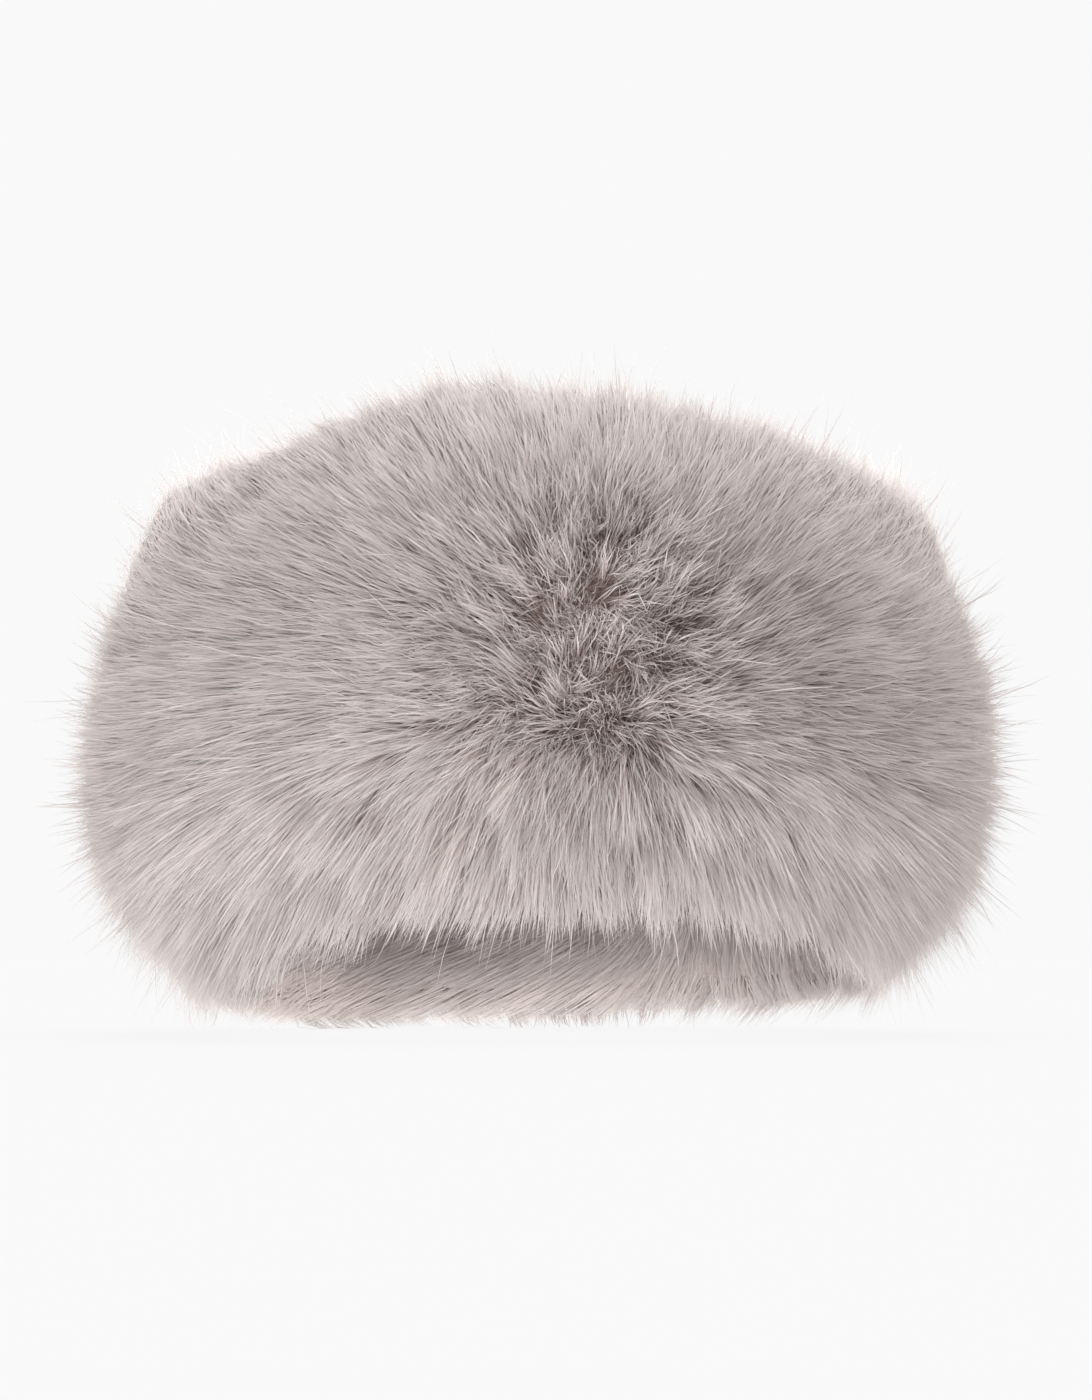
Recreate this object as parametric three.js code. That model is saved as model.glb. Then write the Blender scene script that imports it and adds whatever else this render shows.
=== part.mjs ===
// Faux fur headband: a broad padded ring of deep pile that goes round a head.
// Millimetres, +Z up. The band stands on its lower edge on z = 0, with the
// wearer's brow towards -Y and the nape towards +Y. The origin is under the
// middle of the ring.
//
// It is built as the band is sewn, from two faces of fur:
//   outer_fur  the deep outer pile, as the solid of its outer form. It rolls
//              over both edges of the band, so in section it is a C.
//   inner_fur  the shorter pile on the inside face, which lies against the
//              head and sits in the opening of that C.
// The lower edge lies flat at the sides and nape and is lifted at the brow.
import * as THREE from "three";

// ---------------------------------------------------------------- sizes, mm
const HEAD_HALF_WIDTH = 80; // inside of the ring, side to side
const HEAD_HALF_LENGTH = 94; // inside of the ring, brow to nape
const HEAD_SQUARENESS = 2.15; // exponent of the oval: 2 is a plain ellipse
const INNER_PILE = 8; // how far the inside pile stands off the backing
const LIP = 9; // how far the outer fur rolls round each edge of the band
const LIP_FACE = 1.2; // the roll stands back this far from the inside face
const INNER_ROUND = 6; // height over which the inside pile rounds off
const GAP = 0.3; // air between the two faces of fur
const STATIONS = 72; // sections round the ring

// The band round the head, every 30 degrees from the brow (0) to the nape
// (180), the same on both sides.
//   foot   height of the lower edge
//   crown  height of the upper edge
//   depth  how far the outer pile stands out from the inside face
const BAND = [
  { angle: 0, foot: 28.0, crown: 158.0, depth: 37.5 },
  { angle: 30, foot: 27.0, crown: 153.5, depth: 37.5 },
  { angle: 60, foot: 16.0, crown: 146.0, depth: 37.5 },
  { angle: 90, foot: 0.0, crown: 141.5, depth: 38.0 },
  { angle: 120, foot: 0.0, crown: 138.0, depth: 38.0 },
  { angle: 150, foot: 0.0, crown: 134.0, depth: 38.0 },
  { angle: 180, foot: 0.0, crown: 132.0, depth: 37.5 },
];

// The outer form in section, from the inner side of the foot, round the
// outside, to the inner side of the crown.
//   up   share of the band's height above the foot
//   out  share of the pile's depth out from the inside face
const FORM = [
  { up: 0.016, out: 0.045 },
  { up: 0.0, out: 0.08 },
  { up: 0.0, out: 0.18 },
  { up: 0.045, out: 0.28 },
  { up: 0.1, out: 0.44 },
  { up: 0.155, out: 0.63 },
  { up: 0.215, out: 0.8 },
  { up: 0.28, out: 0.905 },
  { up: 0.37, out: 0.975 },
  { up: 0.48, out: 1.0 },
  { up: 0.6, out: 0.98 },
  { up: 0.71, out: 0.92 },
  { up: 0.8, out: 0.82 },
  { up: 0.88, out: 0.69 },
  { up: 0.945, out: 0.54 },
  { up: 0.985, out: 0.4 },
  { up: 1.0, out: 0.25 },
  { up: 0.99, out: 0.11 },
  { up: 0.968, out: 0.045 },
];

// ------------------------------------------------------------- the ring's way
// A column of BAND at any angle, by a Catmull-Rom curve through its rows,
// mirrored past the brow and the nape.
function bandAt(column, degrees) {
  const step = BAND[1].angle - BAND[0].angle;
  const folded = Math.abs(((((degrees + 180) % 360) + 360) % 360) - 180);
  const last = BAND.length - 1;
  const i = Math.min(Math.floor(folded / step), last - 1);
  const t = folded / step - i;
  const row = (k) => BAND[k < 0 ? -k : k > last ? 2 * last - k : k][column];
  const [a, b, c, d] = [row(i - 1), row(i), row(i + 1), row(i + 2)];
  return (
    b +
    0.5 *
      t *
      (c - a + t * (2 * a - 5 * b + 4 * c - d + t * (3 * (b - c) + d - a)))
  );
}

// The point of the inside oval at an angle from the brow, and the way out.
function ovalAt(degrees) {
  const turn = THREE.MathUtils.degToRad(degrees);
  const [s, c] = [Math.sin(turn), Math.cos(turn)];
  const power = 2 / HEAD_SQUARENESS;
  const x = HEAD_HALF_WIDTH * Math.sign(s) * Math.abs(s) ** power;
  const y = -HEAD_HALF_LENGTH * Math.sign(c) * Math.abs(c) ** power;
  const out = new THREE.Vector2(
    (Math.sign(x) * Math.abs(x / HEAD_HALF_WIDTH) ** (HEAD_SQUARENESS - 1)) /
      HEAD_HALF_WIDTH,
    (Math.sign(y) * Math.abs(y / HEAD_HALF_LENGTH) ** (HEAD_SQUARENESS - 1)) /
      HEAD_HALF_LENGTH,
  ).normalize();
  return { at: new THREE.Vector2(x, y), out };
}

// A section point (out from the inside face, height) placed at an angle.
function placed(degrees, [out, height]) {
  const oval = ovalAt(degrees);
  return [
    oval.at.x + oval.out.x * out,
    oval.at.y + oval.out.y * out,
    Math.max(0, height),
  ];
}

// ----------------------------------------------------------------- sections
function outerSection(degrees) {
  const foot = Math.max(0, bandAt("foot", degrees));
  const crown = bandAt("crown", degrees);
  const depth = bandAt("depth", degrees);
  const form = FORM.map(({ up, out }) => [
    out * depth,
    foot + up * (crown - foot),
  ]);
  return [
    [INNER_PILE + GAP, foot + LIP - GAP],
    [LIP_FACE, foot + LIP - GAP],
    ...form,
    [LIP_FACE, crown - LIP + GAP],
    [INNER_PILE + GAP, crown - LIP + GAP],
  ];
}

function innerSection(degrees) {
  const low = Math.max(0, bandAt("foot", degrees)) + LIP;
  const high = bandAt("crown", degrees) - LIP;
  const middle = (low + high) / 2;
  return [
    [LIP_FACE, low],
    [INNER_PILE, low],
    [INNER_PILE, middle],
    [INNER_PILE, high],
    [LIP_FACE, high],
    [0, high - INNER_ROUND],
    [0, middle],
    [0, low + INNER_ROUND],
  ];
}

// ------------------------------------------------------------------ the loft
// A closed ring through the section at every station. The sections run
// anticlockwise, seen with the outside of the band to the right.
function ringOf(section) {
  const positions = [];
  const indices = [];
  const around = section(0).length;
  for (let i = 0; i < STATIONS; i++) {
    const degrees = (360 * i) / STATIONS;
    for (const point of section(degrees))
      positions.push(...placed(degrees, point));
  }
  for (let i = 0; i < STATIONS; i++) {
    const next = (i + 1) % STATIONS;
    for (let k = 0; k < around; k++) {
      const up = (k + 1) % around;
      const [a, b] = [i * around + k, next * around + k];
      const [c, d] = [next * around + up, i * around + up];
      indices.push(a, b, c, a, c, d);
    }
  }
  const geometry = new THREE.BufferGeometry();
  geometry.setAttribute(
    "position",
    new THREE.Float32BufferAttribute(positions, 3),
  );
  geometry.setIndex(indices);
  geometry.computeVertexNormals();
  return geometry;
}

// ---------------------------------------------------------------- the object
const outerFur = new THREE.MeshStandardMaterial({
  color: 0xbdb4b1, // pale taupe grey
  roughness: 0.95,
  metalness: 0,
});
const innerFur = new THREE.MeshStandardMaterial({
  color: 0xa9a09d, // the same fur, a shade deeper inside the ring
  roughness: 0.95,
  metalness: 0,
});

const headband = new THREE.Group();
headband.name = "fur_headband";

const outer = new THREE.Mesh(ringOf(outerSection), outerFur);
outer.name = "outer_fur";
headband.add(outer);

const inner = new THREE.Mesh(ringOf(innerSection), innerFur);
inner.name = "inner_fur";
headband.add(inner);

export default headband;
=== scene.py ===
# Faux fur headband: a broad ring of deep pale taupe pile, standing on its lower edge.
# The fur is real geometry: some hundred thousand tapering strands, each rooted on the
# band's core and reaching to the outer form that the CAD solids hold.
import math

import bpy
import numpy as np
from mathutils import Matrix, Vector


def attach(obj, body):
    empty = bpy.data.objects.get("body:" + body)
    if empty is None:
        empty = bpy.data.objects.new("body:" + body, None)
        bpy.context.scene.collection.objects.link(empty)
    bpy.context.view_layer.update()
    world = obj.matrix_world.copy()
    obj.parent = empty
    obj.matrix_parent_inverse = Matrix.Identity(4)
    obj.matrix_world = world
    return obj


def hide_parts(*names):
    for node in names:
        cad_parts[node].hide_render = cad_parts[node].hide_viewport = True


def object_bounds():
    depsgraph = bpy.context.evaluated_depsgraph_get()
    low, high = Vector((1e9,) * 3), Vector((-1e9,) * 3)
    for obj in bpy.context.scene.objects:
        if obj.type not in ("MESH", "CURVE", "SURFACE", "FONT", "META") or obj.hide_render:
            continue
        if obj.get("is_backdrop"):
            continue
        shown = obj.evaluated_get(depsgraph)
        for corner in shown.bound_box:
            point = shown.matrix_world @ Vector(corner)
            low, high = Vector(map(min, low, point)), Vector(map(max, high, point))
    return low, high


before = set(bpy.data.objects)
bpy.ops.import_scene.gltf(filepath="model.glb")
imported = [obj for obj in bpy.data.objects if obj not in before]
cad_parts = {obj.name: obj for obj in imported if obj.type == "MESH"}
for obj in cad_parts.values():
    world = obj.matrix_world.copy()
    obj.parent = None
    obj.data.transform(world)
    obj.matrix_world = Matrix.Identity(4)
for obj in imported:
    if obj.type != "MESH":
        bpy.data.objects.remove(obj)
CAD_LOW, CAD_HIGH = (list(map(float, p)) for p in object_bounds())

MM = 0.001

# ------------------------------------------------------------------ the form
# The same sizes as the CAD source, in millimetres.
HEAD_HALF_WIDTH, HEAD_HALF_LENGTH, HEAD_SQUARENESS = 80.0, 94.0, 2.15
BAND_STEP = 30.0
BAND = {  # every 30 degrees from the brow to the nape
    "foot": np.array([28.0, 27.0, 16.0, 0.0, 0.0, 0.0, 0.0]),
    "crown": np.array([158.0, 153.5, 146.0, 141.5, 138.0, 134.0, 132.0]),
    "depth": np.array([37.5, 37.5, 37.5, 38.0, 38.0, 38.0, 37.5]),
}
FORM = np.array([  # up: share of the band's height, out: share of its depth
    (0.016, 0.045), (0.0, 0.08), (0.0, 0.18), (0.045, 0.28), (0.1, 0.44), (0.155, 0.63), (0.215, 0.8),
    (0.28, 0.905), (0.37, 0.975), (0.48, 1.0), (0.6, 0.98), (0.71, 0.92), (0.8, 0.82), (0.88, 0.69),
    (0.945, 0.54), (0.985, 0.4), (1.0, 0.25), (0.99, 0.11), (0.968, 0.045),
])

# The backing that the outer pile is rooted on, in section: how far out from the
# inside face, and how far up from the foot or down from the crown.
CORE = np.array([(4.5, 19.0), (6.5, 16.5), (9.5, 16.0), (12.3, 17.5), (13.8, 21.5), (14.4, 28.0), (14.6, 40.0)])
CORE_TOP_EXTRA = 3.5  # it stops this much further short of the crown than of the foot

# Where the pile is rooted: for a tip at each share of the outer form's section, the
# share of the backing's section that its root lies at, over the ears and nape and over the brow.
NAP = np.array([
    (0.0, 0.0, 0.03), (0.04, 0.06, 0.10), (0.08, 0.09, 0.17), (0.12, 0.13, 0.225), (0.16, 0.175, 0.265), (0.2, 0.218, 0.295),
    (0.24, 0.259, 0.314), (0.28, 0.298, 0.325), (0.32, 0.332, 0.337), (0.36, 0.367, 0.357), (0.4, 0.402, 0.388),
    (0.44, 0.441, 0.441), (0.48, 0.484, 0.498), (0.52, 0.53, 0.552), (0.56, 0.576, 0.606), (0.6, 0.619, 0.662),
    (0.64, 0.66, 0.712), (0.68, 0.7, 0.757), (0.72, 0.74, 0.79), (0.76, 0.781, 0.812), (0.8, 0.821, 0.836),
    (0.84, 0.861, 0.866), (0.88, 0.898, 0.9), (0.92, 0.928, 0.928), (0.96, 0.954, 0.954), (1.0, 0.98, 0.98),
])


def catmull(rows, t, step=1.0):
    """A uniform Catmull-Rom curve through rows, mirrored past both ends."""
    last = len(rows) - 1
    x = np.clip(np.asarray(t, float) / step, 0, last)
    i = np.minimum(np.floor(x).astype(int), last - 1)
    f = x - i

    def row(k):
        k = np.abs(k)
        return rows[np.where(k > last, 2 * last - k, k)]

    a, b, c, d = row(i - 1), row(i), row(i + 1), row(i + 2)
    return b + 0.5 * f * (c - a + f * (2 * a - 5 * b + 4 * c - d + f * (3 * (b - c) + d - a)))


# The soft lower edge is not quite even: by how many mm it lies above the CAD edge,
# at angles round from the brow, to the left and to the right.
EDGE = np.array([
    (0, -1.5, -1.5), (20, -4, -3), (32, -5.5, -4), (40, -5.5, -3), (46, -6, -2), (52, -8.5, -1), (60, -10, 0), (70, -3, 1.5), (80, 4, 6.5),
    (90, 6, 9), (104, 4, 8), (120, 1, 5.5), (140, 0, 4), (160, 0, 2), (180, 0, 0),
])
_edge_at = np.arange(-180.0, 181.0)
_edge = np.where(_edge_at < 0, *(np.interp(np.abs(_edge_at), EDGE[:, 0], EDGE[:, k]) for k in (1, 2)))
_edge = np.convolve(np.pad(_edge, 6, mode="wrap"), np.hanning(15)[1:-1] / np.hanning(15).sum(), "valid")


# Nor is the soft top: mm above the CAD crown, at angles round from the brow.
CREST = np.array([
    (-180, 0), (-90, -0.5), (-66, -2.5), (-44, -4), (-32, -1), (-18, 2.5), (-9, 3), (0, 1.5), (10, 0.5), (24, -1.5), (36, -0.5), (50, -3), (64, -2.5), (80, 0), (180, 0),
], float)
_crest = np.interp(_edge_at, CREST[:, 0], CREST[:, 1])
_crest = np.convolve(np.pad(_crest, 6, mode="wrap"), np.hanning(15)[1:-1] / np.hanning(15).sum(), "valid")


def band_at(column, degrees):
    side = (degrees + 180.0) % 360.0 - 180.0
    value = catmull(BAND[column], np.abs(side), BAND_STEP)
    if column == "crown":
        return value + np.interp(side, _edge_at, _crest)
    if column != "foot":
        return value
    return np.maximum(value + np.interp(side, _edge_at, _edge), 0.0)


def oval_at(degrees):
    """The inside oval at an angle from the brow: its point and the way out."""
    turn = np.radians(degrees)
    s, c = np.sin(turn), np.cos(turn)
    power = 2 / HEAD_SQUARENESS
    x = HEAD_HALF_WIDTH * np.sign(s) * np.abs(s) ** power
    y = -HEAD_HALF_LENGTH * np.sign(c) * np.abs(c) ** power
    nx = np.sign(x) * np.abs(x / HEAD_HALF_WIDTH) ** (HEAD_SQUARENESS - 1) / HEAD_HALF_WIDTH
    ny = np.sign(y) * np.abs(y / HEAD_HALF_LENGTH) ** (HEAD_SQUARENESS - 1) / HEAD_HALF_LENGTH
    size = np.hypot(nx, ny)
    return np.stack([x, y], -1), np.stack([nx / size, ny / size], -1)


def placed(degrees, out, height):
    at, way = oval_at(degrees)
    return np.stack([at[..., 0] + way[..., 0] * out, at[..., 1] + way[..., 1] * out, height], -1)


def walk(points):
    """Share of the way along a line of points, at each point, and its length."""
    d = np.linalg.norm(np.diff(points, axis=0), axis=1)
    return np.concatenate([[0], np.cumsum(d)]) / d.sum(), d.sum()


MEAN_HEIGHT, MEAN_DEPTH = 135.0, 37.5


def core_section(foot, crown):
    """The backing's section at a foot and a crown: arrays of out and height, rows last."""
    foot, crown = np.asarray(foot, float)[..., None], np.asarray(crown, float)[..., None]
    height = np.concatenate([foot + CORE[:, 1], crown - CORE_TOP_EXTRA - CORE[::-1, 1]], -1)
    out = np.broadcast_to(np.concatenate([CORE[:, 0], CORE[::-1, 0]]), height.shape)
    return out, height


_form = np.stack([FORM[:, 1] * MEAN_DEPTH, FORM[:, 0] * MEAN_HEIGHT], -1)
_core = np.stack(core_section(0.0, MEAN_HEIGHT), -1)
FORM_WALK, FORM_MM = walk(_form)
CORE_WALK, CORE_MM = walk(_core)


def form_point(degrees, share):
    """A point of the outer form, at a share of the way along its section."""
    foot, crown, depth = (band_at(k, degrees) for k in ("foot", "crown", "depth"))
    s = np.clip(share, 0, 1)
    up, out = np.interp(s, FORM_WALK, FORM[:, 0]), np.interp(s, FORM_WALK, FORM[:, 1])
    return placed(degrees, out * depth, foot + up * (crown - foot))


def core_point(degrees, share):
    """A point of the backing, at a share of the way along its section."""
    out, height = core_section(band_at("foot", degrees), band_at("crown", degrees))
    s = np.clip(share, 0, 1)
    i = np.clip(np.searchsorted(CORE_WALK, s, side="right") - 1, 0, len(CORE_WALK) - 2)
    f = (s - CORE_WALK[i]) / (CORE_WALK[i + 1] - CORE_WALK[i])

    def take(rows):
        return np.take_along_axis(rows, i[..., None], -1)[..., 0] * (1 - f) + np.take_along_axis(rows, i[..., None] + 1, -1)[..., 0] * f

    return placed(degrees, take(out), take(height))


def root_share(v, side):
    """Where on the backing the strand is rooted that ends at a share of the outer form, side degrees round from the brow."""
    t = np.clip((np.abs(side) - 75.0) / 50.0, 0, 1)
    brow = 1 - t * t * (3 - 2 * t)
    brow_high = np.exp(-(((side - 6.5) / 14.0) ** 2))
    high = np.clip((v - 0.38) / 0.1, 0, 1)
    mix = brow * (1 - high) + brow_high * high
    # towards the nape the whole pile falls a little
    b = np.clip((np.abs(side) - 108.0) / 45.0, 0, 1)
    fall = 0.075 * b * b * (3 - 2 * b) * np.clip((v - 0.1) / 0.25, 0, 1) * np.clip((0.95 - v) / 0.25, 0, 1)
    return np.interp(v, NAP[:, 0], NAP[:, 1]) * (1 - mix) + np.interp(v, NAP[:, 0], NAP[:, 2]) * mix + fall


def unit(v):
    return v / np.maximum(np.linalg.norm(v, axis=-1, keepdims=True), 1e-9)


def surface_frame(point, degrees, share, e=0.4, s=0.012):
    """Outward normal of a surface of the ring, and the ways round and up along it."""
    round_ = point(degrees + e, share) - point(degrees - e, share)
    up = point(degrees, np.clip(share + s, 0, 1)) - point(degrees, np.clip(share - s, 0, 1))
    round_, up = unit(round_), unit(up)
    return unit(np.cross(round_, up)), round_, up


# angle against length round the outer form, so that strands spread evenly
_deg = np.linspace(0, 360, 1441)
_ring = placed(_deg, 32.0, 0 * _deg)
_walk = np.concatenate([[0], np.cumsum(np.linalg.norm(np.diff(_ring, axis=0), axis=1))])
ROUND_MM = float(_walk[-1])


def angle_of(length):
    return np.interp(np.mod(length, ROUND_MM), _walk, _deg)


# --------------------------------------------------------------- even scatter
def scatter(n, seed):
    """n points spread evenly over the unit square (the R2 sequence), with a little jitter."""
    g = 1.32471795724474602596
    k = np.arange(1, n + 1)
    r = np.random.default_rng(seed)
    start = r.random(2)
    j = 0.35 / math.sqrt(n)
    u = ((start[0] + k / g) % 1.0 + r.normal(0, j, n)) % 1.0
    v = np.clip((start[1] + k / g**2) % 1.0 + r.normal(0, j, n), 0, 1)
    return u, v


def cells(u_mm, v_mm, across, size, seed):
    """The nearest of a jittered grid of tuft centres to each point: its u, v and number."""
    nu = max(1, int(round(ROUND_MM / size)))
    step = ROUND_MM / nu
    nv = int(math.ceil(across / size)) + 3
    r = np.random.default_rng(seed)
    ju, jv = r.uniform(-0.45, 0.45, (2, nu, nv))
    iu, iv = np.floor(u_mm / step).astype(int), np.floor(v_mm / size).astype(int)
    best = np.full(len(u_mm), 1e9)
    cu, cv, cid = np.zeros(len(u_mm)), np.zeros(len(u_mm)), np.zeros(len(u_mm), int)
    for du in (-1, 0, 1):
        for dv in (-1, 0, 1):
            a, b = iu + du, iv + dv
            am, bm = a % nu, np.clip(b + 1, 0, nv - 1)
            pu, pv = (a + 0.5 + ju[am, bm]) * step, (b + 0.5 + jv[am, bm]) * size
            d = (pu - u_mm) ** 2 + (pv - v_mm) ** 2
            near = d < best
            best = np.where(near, d, best)
            cu, cv, cid = np.where(near, pu, cu), np.where(near, pv, cv), np.where(near, am * nv + bm, cid)
    return cu, cv, cid


def per_cell(cid, seed, width=1):
    """Normal random numbers shared by the strands of one tuft."""
    table = np.random.default_rng(seed).normal(0, 1, (int(cid.max()) + 1, width))
    return table[cid] if width > 1 else table[cid, 0]


def waves(p, seed, scale, n=10):
    """Smooth noise of a few plane waves, about -1 to 1, p in mm."""
    r = np.random.default_rng(seed)
    out = np.zeros(len(p))
    for _ in range(n):
        k = unit(r.normal(0, 1, 3)) * 2 * math.pi / (scale * r.uniform(0.6, 1.6))
        out += np.sin(p @ k + r.uniform(0, 2 * math.pi))
    return out / math.sqrt(n / 2) * 0.7


def flow(p, seed, scale, normal):
    """Smooth sideways drift of the nap, lying along the surface."""
    d = np.stack([waves(p, seed + i, scale) for i in range(3)], -1)
    return d - np.sum(d * normal, -1, keepdims=True) * normal


# ------------------------------------------------------------------- ribbons
LOWEST = 0.35  # no strand comes nearer the floor than this


def ribbons(name, points, widths, turn, tint, first, toward, soft, material):
    """One mesh of tapering strands. points is (strands, K, 3) in mm and widths (strands, K-1); the last point is the tip.
    toward is the way out of the fur at each strand, so that faces look outwards; turn rolls each ribbon about itself.
    soft is how much of the fur's own normal is mixed into the ribbon's."""
    n, k = points.shape[:2]
    tangent = np.empty_like(points)
    tangent[:, 1:-1] = points[:, 2:] - points[:, :-2]
    tangent[:, 0] = points[:, 1] - points[:, 0]
    tangent[:, -1] = points[:, -1] - points[:, -2]
    tangent = unit(tangent)
    flat = unit(np.cross(tangent, toward[:, None, :] + 1e-4))
    face = np.cross(flat, tangent)
    c, s = np.cos(turn)[:, None, None], np.sin(turn)[:, None, None]
    side = flat * c + face * s
    normal = face * c - flat * s
    half = side[:, :-1] * widths[..., None] / 2
    per = 2 * (k - 1) + 1
    verts = np.empty((n, per, 3))
    verts[:, 0:-1:2], verts[:, 1:-1:2], verts[:, -1] = points[:, :-1] - half, points[:, :-1] + half, points[:, -1]
    verts[..., 2] = np.maximum(verts[..., 2], LOWEST)
    tris = []
    for i in range(k - 2):
        a = 2 * i
        tris += [(a, a + 1, a + 3), (a, a + 3, a + 2)]
    tris.append((2 * (k - 2), 2 * (k - 2) + 1, 2 * (k - 1)))
    index = (np.arange(n)[:, None, None] * per + np.array(tris)[None]).reshape(-1, 3)

    mesh = bpy.data.meshes.new(name)
    mesh.vertices.add(n * per)
    mesh.vertices.foreach_set("co", (verts * MM).astype(np.float32).ravel())
    mesh.loops.add(len(index) * 3)
    mesh.loops.foreach_set("vertex_index", index.astype(np.int32).ravel())
    mesh.polygons.add(len(index))
    mesh.polygons.foreach_set("loop_start", (np.arange(len(index)) * 3).astype(np.int32))
    mesh.update(calc_edges=True)

    own = np.empty((n, per, 3))
    rounding = 0.6
    own[:, 0:-1:2] = normal[:, :-1] - side[:, :-1] * rounding
    own[:, 1:-1:2] = normal[:, :-1] + side[:, :-1] * rounding
    own[:, -1] = normal[:, -1]
    mixed = unit(unit(own) * (1 - soft[:, None, None]) + (toward * soft[:, None])[:, None, :])
    mesh.attributes.new("custom_normal", "FLOAT_VECTOR", "POINT").data.foreach_set("vector", mixed.astype(np.float32).ravel())

    # along runs from the root to the tip; tint is the strand's shade, its own tone with painted light and shade added
    # where the strands are made
    steps = np.concatenate([np.zeros((n, 1)), np.cumsum(np.linalg.norm(np.diff(points, axis=1), axis=2), 1)], 1)
    along = first[:, None] + (1 - first[:, None]) * steps / steps[:, -1:]
    v, u = np.empty((n, per)), np.empty((n, per))
    v[:, 0:-1:2], v[:, 1:-1:2], v[:, -1] = along[:, :-1], along[:, :-1], along[:, -1]
    u[:, 0:-1:2], u[:, 1:-1:2], u[:, -1] = tint[:, None] - 0.012, tint[:, None] + 0.012, tint
    u, v = np.clip(u, 0.001, 0.999), np.clip(v, 0.001, 0.999)
    for label, values in (("tint", u), ("along", v)):
        mesh.attributes.new(label, "FLOAT", "POINT").data.foreach_set("value", values.astype(np.float32).ravel())
    uv = mesh.uv_layers.new(name="OFBake")
    corner = np.stack([u.ravel()[index.ravel()], v.ravel()[index.ravel()]], 1)
    uv.uv.foreach_set("vector", corner.astype(np.float32).ravel())
    piece = bpy.data.objects.new(name, mesh)
    bpy.context.scene.collection.objects.link(piece)
    mesh.materials.append(material)
    return piece


def together(sets):
    """Strand sets with the same number of points, as one."""
    return {k: np.concatenate([s[k] for s in sets]) for k in sets[0]}


def build(name, d, keep, material):
    return ribbons(name, *(d[k][keep] for k in ("points", "widths", "turn", "tint", "first", "toward", "soft")), material)


# ----------------------------------------------------------------- materials
def nodes_of(material):
    material.use_nodes = True
    tree = material.node_tree
    tree.nodes.clear()
    out = tree.nodes.new("ShaderNodeOutputMaterial")
    shader = tree.nodes.new("ShaderNodeBsdfPrincipled")
    tree.links.new(shader.outputs[0], out.inputs[0])
    return tree, shader, out


def srgb(r, g, b):
    return tuple((c / 255 / 12.92) if c / 255 <= 0.04045 else ((c / 255 + 0.055) / 1.055) ** 2.4 for c in (r, g, b)) + (1.0,)


def fur_material(name, stops, spread, through):
    """Strand colour from root to tip, darker at the root as painted shade of the pile's depths, scaled by each strand's
    tint, which holds its own tone and painted light and shade, and a slow banding along it.
    """
    material = bpy.data.materials.new(name)
    tree, shader, out = nodes_of(material)
    link, new = tree.links.new, tree.nodes.new
    along, tint = new("ShaderNodeAttribute"), new("ShaderNodeAttribute")
    along.attribute_name, tint.attribute_name = "along", "tint"
    ramp = new("ShaderNodeValToRGB")
    ramp.color_ramp.interpolation = "EASE"
    elements = ramp.color_ramp.elements
    for i, (position, colour) in enumerate(stops):
        e = elements[i] if i < 2 else elements.new(position)
        e.position, e.color = position, colour
    link(along.outputs["Fac"], ramp.inputs[0])
    place = new("ShaderNodeCombineXYZ")
    link(tint.outputs["Fac"], place.inputs[0])
    link(along.outputs["Fac"], place.inputs[1])
    stretch = new("ShaderNodeVectorMath")
    stretch.operation = "MULTIPLY"
    stretch.inputs[1].default_value = (60.0, 2.2, 1.0)
    link(place.outputs[0], stretch.inputs[0])
    noise = new("ShaderNodeTexNoise")
    noise.noise_dimensions = "2D"
    noise.inputs["Scale"].default_value = 1.0
    noise.inputs["Detail"].default_value = 2.0
    link(stretch.outputs[0], noise.inputs["Vector"])
    shade = new("ShaderNodeMapRange")
    shade.inputs["To Min"].default_value, shade.inputs["To Max"].default_value = spread
    link(tint.outputs["Fac"], shade.inputs["Value"])
    band = new("ShaderNodeMapRange")
    band.inputs["From Min"].default_value, band.inputs["From Max"].default_value = 0.3, 0.7
    band.inputs["To Min"].default_value, band.inputs["To Max"].default_value = 0.94, 1.06
    link(noise.outputs["Fac"], band.inputs["Value"])
    both = new("ShaderNodeMath")
    both.operation = "MULTIPLY"
    link(shade.outputs[0], both.inputs[0])
    link(band.outputs[0], both.inputs[1])
    mix = new("ShaderNodeVectorMath")
    mix.operation = "SCALE"
    link(ramp.outputs[0], mix.inputs[0])
    link(both.outputs[0], mix.inputs["Scale"])
    link(mix.outputs[0], shader.inputs["Base Color"])
    rough = new("ShaderNodeMapRange")
    rough.inputs["To Min"].default_value, rough.inputs["To Max"].default_value = 0.8, 0.55
    link(along.outputs["Fac"], rough.inputs["Value"])
    link(rough.outputs[0], shader.inputs["Roughness"])
    shader.inputs["Specular IOR Level"].default_value = 0.2
    shader.inputs["Sheen Weight"].default_value = 0.1
    shader.inputs["Sheen Roughness"].default_value = 0.5
    if through > 0:
        glow = new("ShaderNodeBsdfTranslucent")
        link(mix.outputs[0], glow.inputs["Color"])
        blend = new("ShaderNodeMixShader")
        blend.inputs[0].default_value = through
        link(shader.outputs[0], blend.inputs[1])
        link(glow.outputs[0], blend.inputs[2])
        link(blend.outputs[0], out.inputs[0])
    return material


# the outer ramp darkens towards the root: painted shade of the pile's depths; the inside pile, the same fur, is painted
# paler throughout to lift the shade inside the band
OUTER = fur_material("taupe_pile", [(0.3, srgb(140, 116, 108)), (1.0, srgb(230, 223, 221)), (0.62, srgb(191, 176, 173)), (0.85, srgb(214, 206, 203))], (0.7, 1.13), 0.3)
INNER = fur_material("taupe_inner_pile", [(0.0, srgb(222, 212, 208)), (1.0, srgb(245, 239, 237)), (0.5, srgb(233, 225, 222))], (0.27, 1.16), 0.5)

# ------------------------------------------------------------- the outer pile
SWEEP = (-1.9, 12.0)  # degrees round the ring from root to tip: everywhere, and more towards the sides

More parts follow.
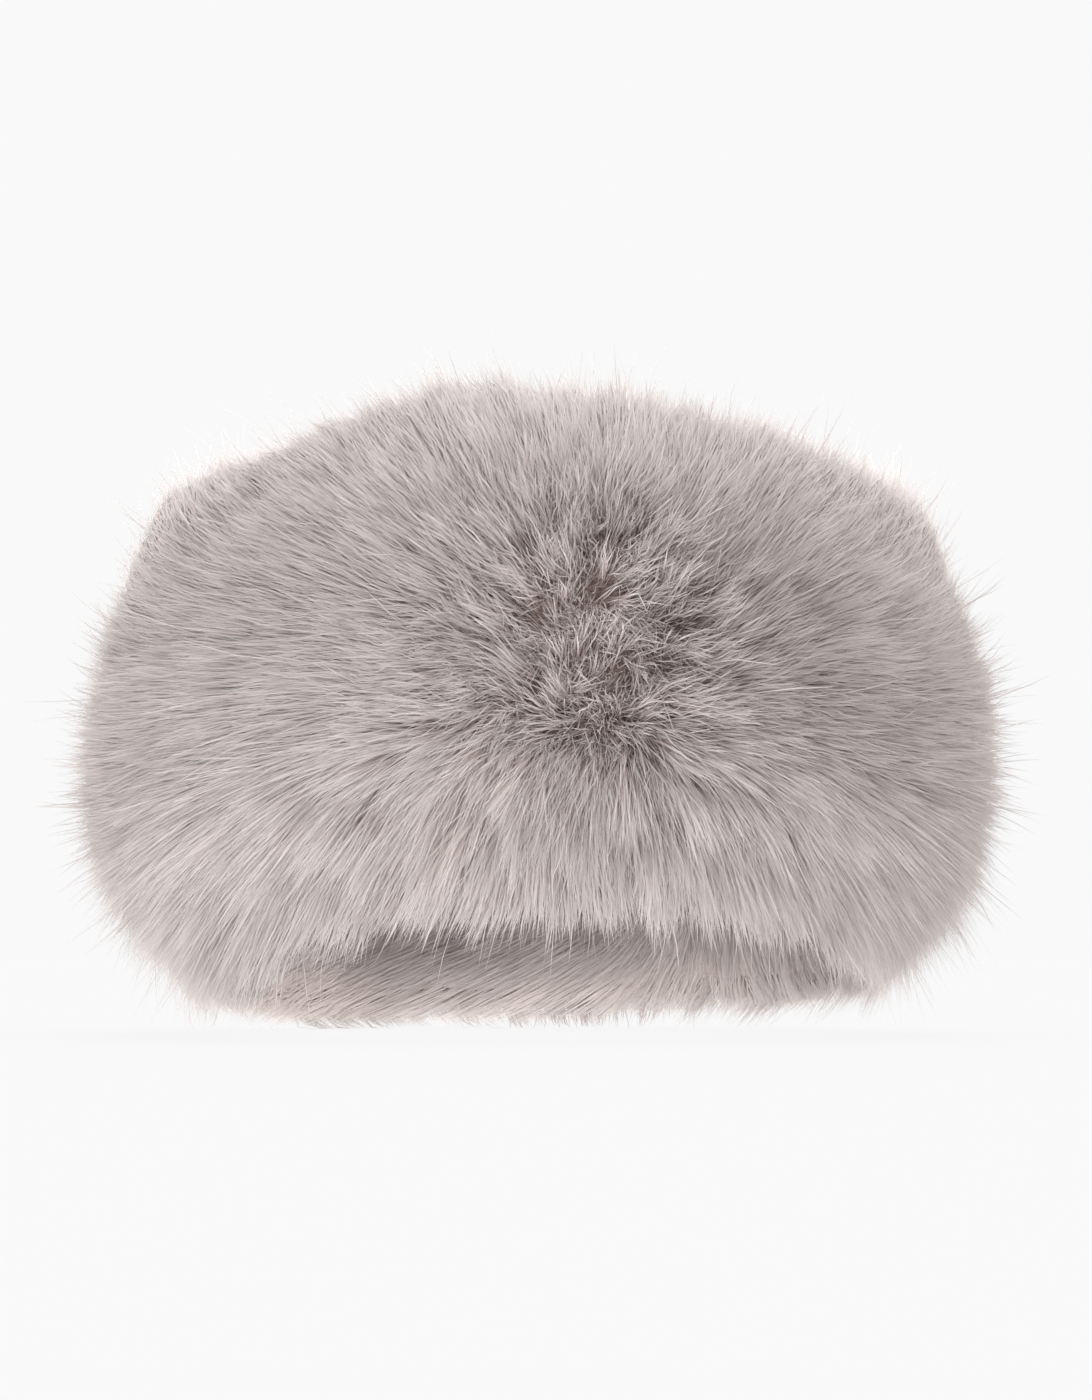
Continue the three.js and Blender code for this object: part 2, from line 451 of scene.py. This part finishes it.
# How far the tips lie inside the outer form at the ears, along its section, in mm.
SHORT = np.array([(0.0, 0.0), (0.1, 0.0), (0.2, 0.5), (0.3, 0.5), (0.4, 0.3), (0.5, 1.0), (0.58, 2.5), (0.68, 4.5), (0.8, 5.0), (0.88, 2.5), (0.94, 0.0), (1.0, 0.0)])

# How much fuller than the outer form the hanging strands are over the brow, outwards, in mm.
FULL = np.array([(0.0, 0.0), (0.037, 3.0), (0.08, 8.0), (0.135, 10.0), (0.2, 7.5), (0.26, 4.5), (0.31, 2.0), (0.36, 0.0), (1.0, 0.0)])

# Loose ends reach past the outer form, but never further than this, in mm.
ROOM_LOW = [low / MM - 0.03 * (high - low) / MM - 7.5 for low, high in zip(CAD_LOW, CAD_HIGH)]
ROOM_HIGH = [high / MM + 0.03 * (high - low) / MM + 7.5 for low, high in zip(CAD_LOW, CAD_HIGH)]

# How much fuller it is at the lower corners, to the left and to the right, in mm.
FULL_CORNER = (-1.0, 3.5)

# The shares of the outer form's section that the outer pile covers; the inside pile has the rest.
OUTER_FROM, OUTER_TO = 0.035, 1.0

# The whorl on the brow, where the pile parts: degrees round, share of the section, and half its spread each way.
WHORL = (5.5, 0.5, 17.5, 0.26)


def outer_strands(n, seed, stops, width, taper, noise, reach_mean, reach_spread, roll=0.9, curl=0.4, lift=0.0, tame=0.6, airy=0.0, wisps=0.0):
    """Strands from the backing to the outer form. stops are the shares of the way that the points lie at, where the last may pass 1."""
    u, v = scatter(n, seed)
    v = OUTER_FROM + v * (OUTER_TO - OUTER_FROM)
    r = np.random.default_rng(seed + 1)
    u_mm, v_mm = u * ROUND_MM, v * FORM_MM
    end = angle_of(u_mm)
    side = (end + 180) % 360 - 180
    degrees = end - SWEEP[0] - SWEEP[1] * np.sin(np.radians(side))
    share = root_share(v, side)
    root = core_point(degrees, share)
    normal = surface_frame(core_point, degrees, share)[0]
    corner = np.clip((0.34 - v) / 0.16, 0, 1) * np.exp(-(((np.abs(side) - 72) / 32) ** 2))
    root -= np.concatenate([oval_at(degrees)[1], np.zeros((n, 1))], 1) * (6.0 * corner)[:, None]
    tip = form_point(end, v)
    toward, round_, up = surface_frame(form_point, end, np.clip(v, 0.02, 0.98))
    front = np.clip(np.cos(np.radians(side)), 0, 1) ** 0.7
    fuller = np.interp(v, FULL[:, 0], FULL[:, 1]) * front
    full_corner = np.where(side < 0, *FULL_CORNER) * np.exp(-(((v - 0.15) / 0.075) ** 2) - ((np.abs(side) - 84) / 26) ** 2)
    fuller = fuller + full_corner
    way_out3 = np.concatenate([oval_at(end)[1], np.zeros((n, 1))], 1)
    tip += way_out3 * fuller[:, None]
    turned = np.clip(fuller / 12.0, 0, 0.8)[:, None]
    toward = unit(toward * (1 - turned) + way_out3 * turned)
    whorl = np.exp(-(((side - WHORL[0]) / WHORL[2]) ** 2) - ((v - WHORL[1]) / WHORL[3]) ** 2)

    au, av, aid = cells(u_mm, v_mm, FORM_MM, 9.0, 51)
    bu, bv, bid = cells(u_mm, v_mm, FORM_MM, 2.8, 52)
    cu, cv, cid = cells(u_mm, v_mm, FORM_MM, 5.2, 71)
    hanging = np.exp(-(((v - 0.2) / 0.1) ** 2)) * front
    lively = np.clip(1.15 * whorl + 0.7 * hanging, 0, 1)
    length = reach_mean - 0.06 * whorl + (0.025 + 0.04 * lively) * per_cell(aid, 53) + (0.03 + 0.11 * lively) * per_cell(bid, 54) + (0.02 + 0.1 * lively) * per_cell(cid, 72) + r.normal(0, 1, n) * (reach_spread + 0.05 * whorl)
    reach = tip - root
    full = np.linalg.norm(reach, axis=1, keepdims=True)
    ears = np.sin(np.radians(side)) ** 2
    short = np.interp(v, SHORT[:, 0], SHORT[:, 1]) * ears
    low = np.clip((0.3 - v) / 0.1, 0, 1)[:, None]
    tip -= (way_out3 * low + toward * (1 - low)) * short[:, None]
    reach = tip - root
    loose = r.random(n) < airy
    length += loose * r.uniform(0.05, 0.27, n)
    length = np.clip(length, 0.5, 1.35)
    length += wisps * r.random(n) ** 2 * np.exp(-(((side - 66) / 13) ** 2) - ((v - 0.08) / 0.05) ** 2)
    length *= 1 - 0.36 * np.clip((0.1 - v) / 0.05, 0, 1) * np.exp(-(((side + 116) / 18) ** 4))
    length = length[:, None]
    drift = flow(tip, 400, 34.0, toward) * 1.8 + flow(tip, 410, 14.0, toward) * 1.2
    stray = per_cell(aid, 55, 3) * (1.0 + 0.6 * lively)[:, None] + per_cell(bid, 56, 3) * (0.9 + 1.8 * lively)[:, None]
    stray += per_cell(cid, 74, 3) * (0.4 + 2.0 * lively)[:, None] + r.normal(0, noise, (n, 3)) * (0.85 + 0.1 * lively)[:, None]
    stray -= toward * (np.sum(stray * toward, 1) * tame)[:, None]
    tip = root + reach * length + drift + stray
    close = r.uniform(0.1, 0.5, n) * (0.5 + 0.5 * lively) + 0.3 * lively
    tip += (round_ * (cu - u_mm)[:, None] + up * (cv - v_mm)[:, None]) * (r.uniform(0.0, 0.2, n) + 0.3 * lively)[:, None]
    tip += (round_ * (bu - u_mm)[:, None] + up * (bv - v_mm)[:, None]) * close[:, None]
    tip += (round_ * (au - u_mm)[:, None] + up * (av - v_mm)[:, None]) * (0.1 + 0.16 * lively)[:, None]
    fits = np.ones(n)
    for axis in range(3):
        step = tip[:, axis] - root[:, axis]
        limit = np.where(step > 0, ROOM_HIGH[axis], ROOM_LOW[axis]) - root[:, axis]
        fits = np.minimum(fits, np.clip(limit / np.where(np.abs(step) < 1e-6, 1e-6, step), 0.2, 1))
    tip = root + (tip - root) * fits[:, None]
    bulge = (np.interp(v, [0.0, 0.1, 0.25, 0.4], [0.2, 0.3, 0.45, 0.5]) * (1 - 0.6 * corner))[:, None]
    bend = root + normal * full * bulge + r.normal(0, 1.3, (n, 3)) + per_cell(bid, 57, 3) * 0.9
    t = np.array(stops)[None, :, None]
    points = (1 - t) ** 2 * root[:, None] + 2 * t * (1 - t) * bend[:, None] + t**2 * tip[:, None]
    # each strand waves about its own way
    way = unit(r.normal(0, 1, (n, 3)))
    phase = r.uniform(0, 2 * math.pi, n)
    for i in range(1, len(stops)):
        points[:, i] += way * (curl * np.sin(phase + 2.4 * i))[:, None]
    points[..., 2] = np.maximum(points[..., 2], LOWEST)
    w = width * np.clip(1 + 0.3 * r.normal(0, 1, n), 0.5, 1.8) * (1.15 - 0.2 * lively) * (1 - 0.3 * loose)
    # painted light: towards the inside the pile is painted paler, its tint lifted low on the sides, and less of the
    # painted depth shade at its roots shows there, along the top and high on the inner sides, to lift the shade that
    # falls under and inside the band
    painted_light_low_sides = np.clip((0.15 - v) / 0.09, 0, 1) * np.clip((np.abs(side) - 55) / 30, 0, 1)
    rim = np.maximum(painted_light_low_sides + np.clip((v - 0.9) / 0.05, 0, 1), 0.7 * np.clip((v - 0.72) / 0.1, 0, 1) * np.clip((np.abs(side) - 60) / 20, 0, 1))
    # painted shade: darker to the right of the whorl and over the right side, at the upper left, and on the crest's
    # inner side over the brow, where less light falls; the one negative term paints a highlight high over the brow
    painted_shade_and_highlight = 0.14 * np.exp(-(((side - 26) / 16) ** 2) - ((v - 0.5) / 0.15) ** 2) + 0.3 * np.exp(-(((side + 42) / 26) ** 2) - ((v - 0.67) / 0.16) ** 2)
    painted_shade_and_highlight += 0.16 * np.exp(-(((side - 50) / 16) ** 2) - ((v - 0.45) / 0.2) ** 2) - 0.1 * np.exp(-((side / 16) ** 2) - ((v - 0.86) / 0.1) ** 2)
    painted_shade_and_highlight += 0.08 * np.exp(-(((side + 18) / 12) ** 2) - ((v - 0.5) / 0.14) ** 2) + 0.07 * np.exp(-(((side - 36) / 14) ** 2) - ((v - 0.75) / 0.1) ** 2)
    painted_shade_and_highlight += 0.3 * np.clip((v - 0.92) / 0.05, 0, 1) * np.exp(-((side / 38) ** 2))
    tint = 0.5 + lift + 0.3 * whorl**2 + 0.1 * whorl + 0.06 * hanging - painted_shade_and_highlight + 0.3 * painted_light_low_sides + (0.05 + 0.06 * hanging) * per_cell(aid, 58) + (0.04 + 0.09 * lively) * per_cell(bid, 59) + (0.05 + 0.07 * lively) * per_cell(cid, 73) + (0.06 + 0.12 * lively) * r.normal(0, 1, n)
    return dict(
        points=points, widths=w[:, None] * np.array(taper)[None], turn=r.uniform(-roll, roll, n) * (0.6 + 0.5 * lively),
        tint=np.clip(tint, 0.02, 0.98), toward=toward, degrees=side, soft=SOFT[0] + (SOFT[1] - SOFT[0]) * lively,
        # where each strand starts on the ramp: short strands, whose roots lie less deep, show less of the painted depth
        # shade, and the painted light rim shows less still
        first=1 - (1 - stops[0]) * np.clip(full[:, 0] / 21.0, 0.3, 1.0) * (1 - 0.75 * rim),
    )


SOFT = (0.78, 0.36)  # how much of the fur's own normal a strand takes: where the pile is sleek, and where it is lively
pile = outer_strands(84000, 100, (0.4, 0.66, 0.86, 1.0), 0.34, (1.0, 1.0, 0.8), 1.9, 0.94, 0.07, curl=0.5)
cover = outer_strands(88000, 150, (0.5, 0.8, 1.0), 0.28, (1.0, 0.9), 2.2, 0.92, 0.08, airy=0.2)
fuzz = outer_strands(110000, 200, (0.66, 1.0), 0.24, (1.0,), 2.4, 0.95, 0.08, airy=0.36)
long_ = outer_strands(9000, 300, (0.6, 0.85, 1.0), 0.17, (1.0, 0.8), 6.0, 1.15, 0.1, lift=0.3, tame=0.0, wisps=0.7)
SECTORS = ["front", "front_right", "back_right", "back", "back_left", "front_left"]


def sector(d):
    return np.round((d["degrees"] % 360) / 60).astype(int) % 6


made = 0
first_piece = None
for i, label in enumerate(SECTORS):
    piece = build(f"outer_pile_{label}", pile, sector(pile) == i, OUTER)
    made += len(piece.data.polygons)
    print(piece.name, len(piece.data.polygons))
    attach(piece, "root")
    first_piece = first_piece or piece
for label, d, keep in (
    ("outer_cover_front", cover, np.abs(cover["degrees"]) < 90), ("outer_cover_back", cover, np.abs(cover["degrees"]) >= 90),
    ("outer_fuzz", fuzz, fuzz["first"] > 0), ("outer_long_hairs", long_, long_["first"] > 0),
):
    piece = build(label, d, keep, OUTER)
    made += len(piece.data.polygons)
    print(piece.name, len(piece.data.polygons))
    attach(piece, "root")
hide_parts("outer_fur")


# ------------------------------------------------------- the core and underfur
def ring_mesh(name, rows, columns, place, material):
    """A closed ring: place(degrees, k) gives a section's point in mm, k from 0 to rows - 1 round the section."""
    D, K = np.meshgrid(np.arange(columns) * 360.0 / columns, np.arange(rows), indexing="ij")
    pts = place(D.ravel(), K.ravel())
    i, k = np.meshgrid(np.arange(columns), np.arange(rows), indexing="ij")
    a, b = i * rows + k, ((i + 1) % columns) * rows + k
    c, d = ((i + 1) % columns) * rows + (k + 1) % rows, i * rows + (k + 1) % rows
    quads = np.stack([a, b, c, d], -1).reshape(-1, 4)
    mesh = bpy.data.meshes.new(name)
    mesh.vertices.add(len(pts))
    mesh.vertices.foreach_set("co", (pts * MM).astype(np.float32).ravel())
    mesh.loops.add(len(quads) * 4)
    mesh.loops.foreach_set("vertex_index", quads.astype(np.int32).ravel())
    mesh.polygons.add(len(quads))
    mesh.polygons.foreach_set("loop_start", (np.arange(len(quads)) * 4).astype(np.int32))
    mesh.update(calc_edges=True)
    piece = bpy.data.objects.new(name, mesh)
    bpy.context.scene.collection.objects.link(piece)
    mesh.materials.append(material)
    return piece


def core_material():
    material = bpy.data.materials.new("underfur")
    tree, shader, out = nodes_of(material)
    link, new = tree.links.new, tree.nodes.new
    coords = new("ShaderNodeTexCoord")
    noise = new("ShaderNodeTexNoise")
    noise.inputs["Scale"].default_value = 800.0
    noise.inputs["Detail"].default_value = 4.0
    link(coords.outputs["Object"], noise.inputs["Vector"])
    # the underfur's dark ramp is partly the deeper hair's own tone and partly painted shade of the pile's depths
    ramp = new("ShaderNodeValToRGB")
    ramp.color_ramp.elements[0].position, ramp.color_ramp.elements[0].color = 0.3, srgb(120, 97, 90)
    ramp.color_ramp.elements[1].position, ramp.color_ramp.elements[1].color = 0.75, srgb(186, 170, 164)
    link(noise.outputs["Fac"], ramp.inputs[0])
    # the pale ramp is painted light: it lifts the shade on the inside face and near the lower and top edges
    pale = new("ShaderNodeValToRGB")
    pale.color_ramp.elements[0].position, pale.color_ramp.elements[0].color = 0.3, srgb(196, 182, 177)
    pale.color_ramp.elements[1].position, pale.color_ramp.elements[1].color = 0.75, srgb(224, 213, 209)
    link(noise.outputs["Fac"], pale.inputs[0])
    inside = new("ShaderNodeAttribute")
    inside.attribute_name = "inside"
    either = new("ShaderNodeMix")
    either.data_type = "RGBA"
    link(inside.outputs["Fac"], either.inputs[0])
    link(ramp.outputs[0], either.inputs[6])
    link(pale.outputs[0], either.inputs[7])
    link(either.outputs[2], shader.inputs["Base Color"])
    shader.inputs["Roughness"].default_value = 0.9
    shader.inputs["Specular IOR Level"].default_value = 0.1
    bump = new("ShaderNodeBump")
    bump.inputs["Strength"].default_value = 0.6
    bump.inputs["Distance"].default_value = 0.001
    link(noise.outputs["Fac"], bump.inputs["Height"])
    link(bump.outputs[0], shader.inputs["Normal"])
    return material


OUT_ROWS = 44
UNDER = 0.5  # the underfur is this share of the way from the backing to the outer form


def core_place(degrees, k):
    outside = k < OUT_ROWS
    v = np.clip(k / (OUT_ROWS - 1), 0, 1)
    share = root_share(v, (degrees + 180) % 360 - 180)
    root, tip = core_point(degrees, share), form_point(degrees, v)
    edge = np.clip(np.minimum(v, 1 - v) / 0.08, 0, 1)
    side = (degrees + 180) % 360 - 180
    whorl = np.exp(-(((side - WHORL[0]) / 16) ** 2) - ((v - WHORL[1]) / 0.3) ** 2)
    deep = (UNDER - 0.09 * whorl + 0.05 * waves(tip, 5, 8.0) + 0.04 * waves(tip, 6, 3.5)) * (0.35 + 0.65 * edge)
    p_out = root + (tip - root) * deep[:, None]
    # back down the inside face
    j = np.clip((k - OUT_ROWS + 1) / 11.0, 0, 1)
    foot, crown = band_at("foot", degrees), band_at("crown", degrees)
    p_in = placed(degrees, 3.6 + 0 * j, (crown - 24) * (1 - j) + (foot + 20) * j)
    return np.where(outside[:, None], p_out, p_in)


core = ring_mesh("underfur", OUT_ROWS + 10, 360, core_place, core_material())
inside = np.arange(OUT_ROWS + 10)
# painted light: the inside rows take the pale ramp fully, and the outer rows near the lower and top edges take up to
# 0.8 of it
inside = np.tile(np.where(inside >= OUT_ROWS, 1.0, np.clip(np.maximum(1.3 - inside / (OUT_ROWS - 1) / 0.16, (inside / (OUT_ROWS - 1) - 0.88) / 0.08), 0, 0.8)), 360).astype(np.float32)
core.data.attributes.new("inside", "FLOAT", "POINT").data.foreach_set("value", inside)
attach(core, "root")
made += 2 * len(core.data.polygons)


# -------------------------------------------------------------- the inside pile
INNER_PART = 147.0  # degrees round from the brow where the inside pile parts


def inner_strands(n, seed):
    u, v = scatter(n, seed)
    u_mm = u * ROUND_MM
    degrees = angle_of(u_mm)
    foot, crown = band_at("foot", degrees), band_at("crown", degrees)
    height = foot + 4 + v * (crown - foot - 11)
    root = placed(degrees, 5.0 + 0 * v, height)
    at, way = oval_at(degrees)
    inward = np.concatenate([-way, np.zeros((n, 1))], 1)
    round_ = np.stack([-way[:, 1], way[:, 0], np.zeros(n)], 1)
    up = np.tile([0.0, 0.0, 1.0], (n, 1))
    r = np.random.default_rng(seed + 1)
    v_mm = v * 110.0
    au, av, aid = cells(u_mm, v_mm, 110.0, 8.0, 61)
    bu, bv, bid = cells(u_mm, v_mm, 110.0, 3.0, 62)
    side = (degrees + 180) % 360 - 180
    # the nap falls, and parts on the right of the nape
    wall = np.clip((np.abs(side) - 90) / 35, 0, 1)
    off = (degrees - INNER_PART + 180) % 360 - 180
    sideways = np.where(off < 0, 1.2, 2.0) * np.tanh(off / 30) * np.clip((180 - np.abs(off)) / 30, 0, 1) * wall
    fall = unit(-0.75 * up + round_ * sideways[:, None] + 0.15 * round_ * per_cell(aid, 63)[:, None])
    reach = inward * 3.2 + fall * (9.0 + 9.0 * wall)[:, None]
    reach *= np.clip(1 + 0.1 * per_cell(aid, 64) + r.normal(0, 0.12, n), 0.6, 1.4)[:, None]
    least = foot + 0.6 + 1.5 * np.abs(per_cell(bid, 70)) + 1.0 * np.abs(r.normal(0, 1, n))
    room = np.clip((height - least) / np.maximum(-reach[:, 2], 0.1), 0.15, 1.0)
    reach *= room[:, None]
    tip = root + reach + (per_cell(aid, 66, 3) * 0.6 + per_cell(bid, 67, 3) * 0.2 + r.normal(0, 0.45, (n, 3))) * room[:, None]
    tip += (round_ * (bu - u_mm)[:, None] + up * (bv - v_mm)[:, None]) * (r.uniform(0.0, 0.12, n) * room)[:, None]
    bend = root + (inward * 4.0 + reach * 0.25 + r.normal(0, 0.4, (n, 3))) * room[:, None]
    t = np.array([0.15, 0.6, 1.0])[None, :, None]
    points = (1 - t) ** 2 * root[:, None] + 2 * t * (1 - t) * bend[:, None] + t**2 * tip[:, None]
    points[..., 2] = np.maximum(points[..., 2], LOWEST)
    w = 0.36 * np.clip(1 + 0.25 * r.normal(0, 1, n), 0.55, 1.6)
    # painted light and shade: away from the front (where pale is 1) the inside pile's tint is painted darker up under
    # the front's arch and lighter towards the floor, where light comes in from below, and lighter again at the left
    # end; everywhere it is painted lighter above 30 mm, where light comes in through the open top
    pale = np.where(side < 0, np.clip((np.abs(side) - 45) / 35, 0, 1), np.clip((side - 58) / 24, 0, 1))
    low = np.clip(1 - tip[:, 2] / 27.0 + 0.6 * pale * np.clip((-side - 40) / 40, 0, 1) * np.clip((160 + side) / 40, 0, 1), 0, 1) * pale + 0.9 * np.clip((tip[:, 2] - 30.0) / 35.0, 0, 1)
    tint = np.clip(0.07 + 0.77 * low + 0.03 * per_cell(aid, 68) + 0.03 * per_cell(bid, 69) + 0.04 * r.normal(0, 1, n), 0.02, 0.98)
    return dict(points=points, widths=w[:, None] * np.array([1.0, 0.85])[None], turn=r.uniform(-0.25, 0.25, n), tint=tint, toward=inward, degrees=side, first=np.full(n, 0.15), soft=np.full(n, 0.93))


d = inner_strands(42000, 900)
inner = build("inner_pile", d, np.ones(len(d["tint"]), bool), INNER)
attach(inner, "root")
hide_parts("inner_fur")
made += len(inner.data.polygons)
print("inner", len(inner.data.polygons), "all triangles", made)

# --------------------------------------------------------- floor, light, camera
PALE = 0.947  # linear brightness of the background


def plain(name, colour, glow):
    """A pale matt surface lit from below as well, as a shooting table is."""
    material = bpy.data.materials.new(name)
    tree, shader, out = nodes_of(material)
    shader.inputs["Base Color"].default_value = colour
    shader.inputs["Emission Color"].default_value = (1, 1, 1, 1)
    shader.inputs["Emission Strength"].default_value = glow
    shader.inputs["Roughness"].default_value = 1.0
    shader.inputs["Specular IOR Level"].default_value = 0.0
    return material


mesh = bpy.data.meshes.new("floor")
mesh.from_pydata([(-9, -9, 0), (9, -9, 0), (9, 9, 0), (-9, 9, 0)], [], [(0, 1, 2, 3)])
floor = bpy.data.objects.new("floor", mesh)
bpy.context.scene.collection.objects.link(floor)
floor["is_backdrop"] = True
floor.visible_shadow = False  # the table lamp shines up through it

world = bpy.data.worlds.new("studio")
bpy.context.scene.world = world
world.use_nodes = True
sky = world.node_tree.nodes["Background"]
sky.inputs[0].default_value = (PALE, PALE, PALE, 1)
FILL = 0.65  # the share of the backdrop's brightness that falls on the fur
path, shown = world.node_tree.nodes.new("ShaderNodeLightPath"), world.node_tree.nodes.new("ShaderNodeMapRange")
shown.inputs["To Min"].default_value, shown.inputs["To Max"].default_value = FILL, 1.0
world.node_tree.links.new(path.outputs["Is Camera Ray"], shown.inputs["Value"])
world.node_tree.links.new(shown.outputs[0], sky.inputs[1])

SUNS = [  # name, way to the lamp, strength, spread in degrees
    ("key", (-0.6, -0.85, -0.12), 1.65, 60),
    ("top", (0.1, -0.12, 1.0), 2.5, 45),
    ("back", (0.0, 0.5, 1.0), 1.5, 60),
    ("rim", (0.0, 0.9, 0.4), 1.2, 90),
    ("table", (-0.05, -0.65, -0.75), 2.9, 70),
]
floor_light = PALE * FILL
for name, way, strength, spread in SUNS:
    lamp = bpy.data.lights.new(name, "SUN")
    lamp.energy, lamp.angle = strength, math.radians(spread)
    o = bpy.data.objects.new(name, lamp)
    o.rotation_euler = Vector(way).to_track_quat("Z", "Y").to_euler()
    bpy.context.scene.collection.objects.link(o)
    floor_light += strength / math.pi * max(0.0, Vector(way).normalized().z)
GLOW = 0.9  # the part of the floor's brightness that comes through it
albedo = (PALE - GLOW) / floor_light
mesh.materials.append(plain("floor_pale", (albedo, albedo, albedo, 1), GLOW))
print("floor albedo", albedo)

camera_data = bpy.data.cameras.new("camera")
camera = bpy.data.objects.new("camera", camera_data)
bpy.context.scene.collection.objects.link(camera)
camera_data.sensor_fit = "AUTO"
camera_data.sensor_width = 36.0
camera_data.lens = 128.4
camera_data.clip_start, camera_data.clip_end = 0.05, 100
camera.location = (0.0018, -1.30, 0.022)
camera.rotation_euler = (math.radians(90 + 2.867), 0, 0)
bpy.context.scene.camera = camera
bpy.context.scene.view_settings.view_transform = "Standard"

bpy.context.view_layer.update()
